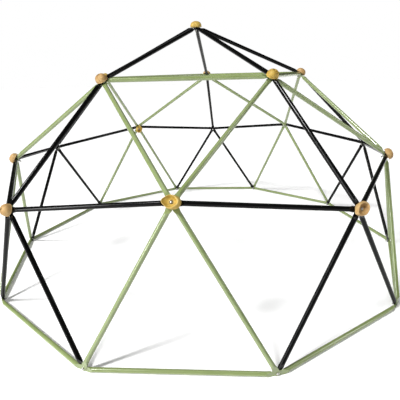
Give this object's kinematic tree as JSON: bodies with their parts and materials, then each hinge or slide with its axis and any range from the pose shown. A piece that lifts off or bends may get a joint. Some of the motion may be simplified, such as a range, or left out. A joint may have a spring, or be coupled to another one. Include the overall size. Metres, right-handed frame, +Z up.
{
  "type": "dome climber",
  "caption": "Free-standing geodesic climbing dome of black and green pressed-end steel tubes, bolted through each joint, with moulded climbing holds.",
  "frame": {"origin": "centre of the base ring, on the ground", "axes": "+Z up through the top joint; +X through a base joint to the right; the front middle joint faces -Y"},
  "size_m": [3.0556, 2.9302, 1.6554],
  "materials": {
    "black_paint": "glossy black powder coat",
    "green_paint": "satin sage green powder coat",
    "tan_hold": "matte tan moulded resin",
    "mustard_hold": "matte mustard moulded resin",
    "zinc_steel": "bright zinc plate"
  },
  "bodies": {
    "root": {"crown_strut_1": "black_paint", "riser_1": "black_paint", "middle_ring_pair_1": "black_paint", "black_leg_pair_1": "black_paint", "upper_ring_strut_1": "green_paint", "brace_pair_1": "green_paint", "green_leg_pair_1": "green_paint", "base_ring_pair_1": "green_paint", "crown_strut_2": "black_paint", "riser_2": "black_paint", "middle_ring_pair_2": "black_paint", "black_leg_pair_2": "black_paint", "upper_ring_strut_2": "green_paint", "brace_pair_2": "green_paint", "green_leg_pair_2": "green_paint", "base_ring_pair_2": "green_paint", "crown_strut_3": "black_paint", "riser_3": "black_paint", "middle_ring_pair_3": "black_paint", "black_leg_pair_3": "black_paint", "upper_ring_strut_3": "green_paint", "brace_pair_3": "green_paint", "green_leg_pair_3": "green_paint", "base_ring_pair_3": "green_paint", "crown_strut_4": "black_paint", "riser_4": "black_paint", "middle_ring_pair_4": "black_paint", "black_leg_pair_4": "black_paint", "upper_ring_strut_4": "green_paint", "brace_pair_4": "green_paint", "green_leg_pair_4": "green_paint", "base_ring_pair_4": "green_paint", "crown_strut_5": "black_paint", "riser_5": "black_paint", "middle_ring_pair_5": "black_paint", "black_leg_pair_5": "black_paint", "upper_ring_strut_5": "green_paint", "brace_pair_5": "green_paint", "green_leg_pair_5": "green_paint", "base_ring_pair_5": "green_paint", "upper_hold_1": "tan_hold", "upper_hold_3": "tan_hold", "upper_hold_4": "tan_hold", "raised_hold_left": "tan_hold", "raised_hold_right": "tan_hold", "middle_hold_right": "tan_hold", "middle_hold_left": "tan_hold", "top_hold": "mustard_hold", "upper_hold_2": "mustard_hold", "upper_hold_5": "mustard_hold", "middle_hold_front": "mustard_hold", "middle_hold_rear": "mustard_hold", "hold_bolts": "zinc_steel", "jug_washers": "zinc_steel", "frame_bolts": "zinc_steel", "outer_washers": "zinc_steel", "inner_washers": "zinc_steel", "lock_nuts": "zinc_steel"}
  },
  "joints": []
}
